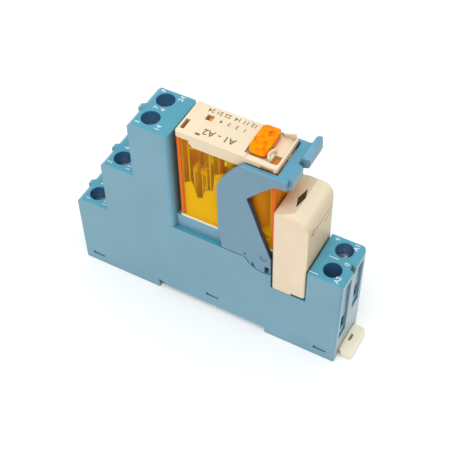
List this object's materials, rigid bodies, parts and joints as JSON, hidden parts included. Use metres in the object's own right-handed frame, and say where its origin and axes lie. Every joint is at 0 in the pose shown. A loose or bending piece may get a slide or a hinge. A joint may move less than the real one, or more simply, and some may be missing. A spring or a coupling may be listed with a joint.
{
  "type": "plug-in relay with socket",
  "caption": "Narrow plug-in relay in a DIN-rail screw socket with stepped terminals, ejector lever, test button, plug-on suppression module and sliding rail latch.",
  "frame": {"origin": "centre of the socket's rail seat, in the plane of a 35 mm rail's face", "axes": "+X along the socket towards the coil terminals and the rail latch, +Y across it from the marked face to the back, +Z away from the rail"},
  "size_m": [0.089, 0.0158, 0.0694],
  "materials": {
    "socket_blue": "moulded plastic, satin",
    "base_blue": "moulded plastic, satin",
    "lever_blue": "moulded plastic, satin",
    "latch_cream": "moulded plastic, satin",
    "relay_cream": "moulded plastic, satin",
    "cap_cream": "moulded plastic, satin",
    "cover_amber": "clear amber plastic",
    "button_orange": "moulded plastic, glossy",
    "coil_copper": "enamelled copper wire",
    "core_steel": "zinc plated steel",
    "contact_brass": "tinned brass",
    "screw_steel": "zinc plated steel",
    "clamp_steel": "zinc plated steel",
    "module_cream": "moulded plastic, satin",
    "board_green": "coated laminate",
    "led_green": "clear epoxy",
    "lens_grey": "smoked clear plastic",
    "resistor_tan": "lacquered",
    "diode_black": "moulded epoxy"
  },
  "bodies": {
    "socket": {"socket_housing": "socket_blue", "socket_base": "base_blue", "strip_12": "contact_brass", "strip_11": "contact_brass", "strip_14": "contact_brass", "strip_22": "contact_brass", "strip_21": "contact_brass", "strip_24": "contact_brass", "strip_a1": "contact_brass", "strip_a2": "contact_brass"},
    "ejector_lever": {"retaining_lever": "lever_blue"},
    "rail_latch": {"din_latch": "latch_cream"},
    "relay": {"relay_base": "relay_cream", "relay_cover": "cover_amber", "relay_cap": "cap_cream", "coil_bobbin": "relay_cream", "coil_winding": "coil_copper", "coil_core": "core_steel", "yoke": "core_steel", "common_pins": "contact_brass", "make_contacts": "contact_brass", "break_contacts": "contact_brass", "coil_pins": "contact_brass"},
    "test_button": {"test_button": "button_orange"},
    "armature": {"armature": "core_steel"},
    "card": {"actuator_card": "relay_cream", "status_flag": "button_orange"},
    "front_contact_blade": {"moving_contact_front": "contact_brass"},
    "back_contact_blade": {"moving_contact_back": "contact_brass"},
    "module": {"module_housing": "module_cream", "module_base": "module_cream", "module_pins": "contact_brass", "module_board": "board_green", "module_led": "led_green", "led_lens": "lens_grey", "module_resistor": "resistor_tan", "module_diode": "diode_black"},
    "screw_12": {"screw_12": "screw_steel"},
    "clamp_12": {"clamp_12": "clamp_steel"},
    "screw_11": {"screw_11": "screw_steel"},
    "clamp_11": {"clamp_11": "clamp_steel"},
    "screw_14": {"screw_14": "screw_steel"},
    "clamp_14": {"clamp_14": "clamp_steel"},
    "screw_22": {"screw_22": "screw_steel"},
    "clamp_22": {"clamp_22": "clamp_steel"},
    "screw_21": {"screw_21": "screw_steel"},
    "clamp_21": {"clamp_21": "clamp_steel"},
    "screw_24": {"screw_24": "screw_steel"},
    "clamp_24": {"clamp_24": "clamp_steel"},
    "screw_a1": {"screw_a1": "screw_steel"},
    "clamp_a1": {"clamp_a1": "clamp_steel"},
    "screw_a2": {"screw_a2": "screw_steel"},
    "clamp_a2": {"clamp_a2": "clamp_steel"}
  },
  "joints": [
    {"name": "lever_swing", "type": "hinge", "parent": "socket", "child": "ejector_lever", "pos_m": [0.0173, 0, 0.0315], "axis": [0, 1, 0], "range_deg": [0, 18]},
    {"name": "relay_lift", "type": "slide", "parent": "socket", "child": "relay", "axis": [0, 0, 1], "range_m": [0, 0.00325]},
    {"name": "module_lift", "type": "slide", "parent": "socket", "child": "module", "axis": [0, 0, 1], "range_m": [0, 0.0026]},
    {"name": "latch_slide", "type": "slide", "parent": "socket", "child": "rail_latch", "axis": [1, 0, 0], "range_m": [0, 0.0025], "stiffness_N_per_m": 1500, "springref_m": -0.001},
    {"name": "armature_swing", "type": "hinge", "parent": "relay", "child": "armature", "pos_m": [0.00595, 0, 0.059], "axis": [0, 1, 0], "range_deg": [0, 3]},
    {"name": "card_slide", "type": "slide", "parent": "relay", "child": "card", "axis": [-1, 0, 0], "range_m": [0, 0.00068], "stiffness_N_per_m": 180, "springref_m": -0.00065},
    {"name": "front_blade_bend", "type": "hinge", "parent": "relay", "child": "front_contact_blade", "pos_m": [-0.0026, -0.0031, 0.0373], "axis": [0, -1, 0], "range_deg": [0, 4.6]},
    {"name": "back_blade_bend", "type": "hinge", "parent": "relay", "child": "back_contact_blade", "pos_m": [-0.0026, 0.0031, 0.0373], "axis": [0, -1, 0], "range_deg": [0, 4.6]},
    {"name": "test_button_push", "type": "slide", "parent": "relay", "child": "test_button", "axis": [0, 0, -1], "range_m": [0, 0.00046]},
    {"name": "screw_12_turn", "type": "hinge", "parent": "socket", "child": "screw_12", "pos_m": [-0.0391, -0.00378, 0.0206], "axis": [0, 0, -1], "range_deg": [0, 1440]},
    {"name": "clamp_12_rise", "type": "slide", "parent": "socket", "child": "clamp_12", "axis": [0, 0, 1], "range_m": [0, 0.002]},
    {"name": "screw_11_turn", "type": "hinge", "parent": "socket", "child": "screw_11", "pos_m": [-0.02845, -0.00378, 0.0405], "axis": [0, 0, -1], "range_deg": [0, 1440]},
    {"name": "clamp_11_rise", "type": "slide", "parent": "socket", "child": "clamp_11", "axis": [0, 0, 1], "range_m": [0, 0.002]},
    {"name": "screw_14_turn", "type": "hinge", "parent": "socket", "child": "screw_14", "pos_m": [-0.0178, -0.00378, 0.0604], "axis": [0, 0, -1], "range_deg": [0, 1440]},
    {"name": "clamp_14_rise", "type": "slide", "parent": "socket", "child": "clamp_14", "axis": [0, 0, 1], "range_m": [0, 0.002]},
    {"name": "screw_22_turn", "type": "hinge", "parent": "socket", "child": "screw_22", "pos_m": [-0.0391, 0.00378, 0.0206], "axis": [0, 0, -1], "range_deg": [0, 1440]},
    {"name": "clamp_22_rise", "type": "slide", "parent": "socket", "child": "clamp_22", "axis": [0, 0, 1], "range_m": [0, 0.002]},
    {"name": "screw_21_turn", "type": "hinge", "parent": "socket", "child": "screw_21", "pos_m": [-0.02845, 0.00378, 0.0405], "axis": [0, 0, -1], "range_deg": [0, 1440]},
    {"name": "clamp_21_rise", "type": "slide", "parent": "socket", "child": "clamp_21", "axis": [0, 0, 1], "range_m": [0, 0.002]},
    {"name": "screw_24_turn", "type": "hinge", "parent": "socket", "child": "screw_24", "pos_m": [-0.0178, 0.00378, 0.0604], "axis": [0, 0, -1], "range_deg": [0, 1440]},
    {"name": "clamp_24_rise", "type": "slide", "parent": "socket", "child": "clamp_24", "axis": [0, 0, 1], "range_m": [0, 0.002]},
    {"name": "screw_a1_turn", "type": "hinge", "parent": "socket", "child": "screw_a1", "pos_m": [0.0357, 0.00378, 0.0289], "axis": [0, 0, -1], "range_deg": [0, 1440]},
    {"name": "clamp_a1_rise", "type": "slide", "parent": "socket", "child": "clamp_a1", "axis": [0, 0, 1], "range_m": [0, 0.002]},
    {"name": "screw_a2_turn", "type": "hinge", "parent": "socket", "child": "screw_a2", "pos_m": [0.0357, -0.00378, 0.0239], "axis": [0, 0, -1], "range_deg": [0, 1440]},
    {"name": "clamp_a2_rise", "type": "slide", "parent": "socket", "child": "clamp_a2", "axis": [0, 0, 1], "range_m": [0, 0.002]}
  ],
  "couplings": [
    {"joint": "lever_swing", "follows": "relay_lift", "rad_per_m": 96.618},
    {"joint": "armature_swing", "follows": "card_slide", "rad_per_m": 76.923},
    {"joint": "front_blade_bend", "follows": "card_slide", "rad_per_m": 114.94},
    {"joint": "back_blade_bend", "follows": "card_slide", "rad_per_m": 114.94},
    {"joint": "test_button_push", "follows": "card_slide", "ratio": 0.65769},
    {"joint": "screw_12_turn", "follows": "clamp_12_rise", "rad_per_m": 12566},
    {"joint": "screw_11_turn", "follows": "clamp_11_rise", "rad_per_m": 12566},
    {"joint": "screw_14_turn", "follows": "clamp_14_rise", "rad_per_m": 12566},
    {"joint": "screw_22_turn", "follows": "clamp_22_rise", "rad_per_m": 12566},
    {"joint": "screw_21_turn", "follows": "clamp_21_rise", "rad_per_m": 12566},
    {"joint": "screw_24_turn", "follows": "clamp_24_rise", "rad_per_m": 12566},
    {"joint": "screw_a1_turn", "follows": "clamp_a1_rise", "rad_per_m": 12566},
    {"joint": "screw_a2_turn", "follows": "clamp_a2_rise", "rad_per_m": 12566}
  ]
}
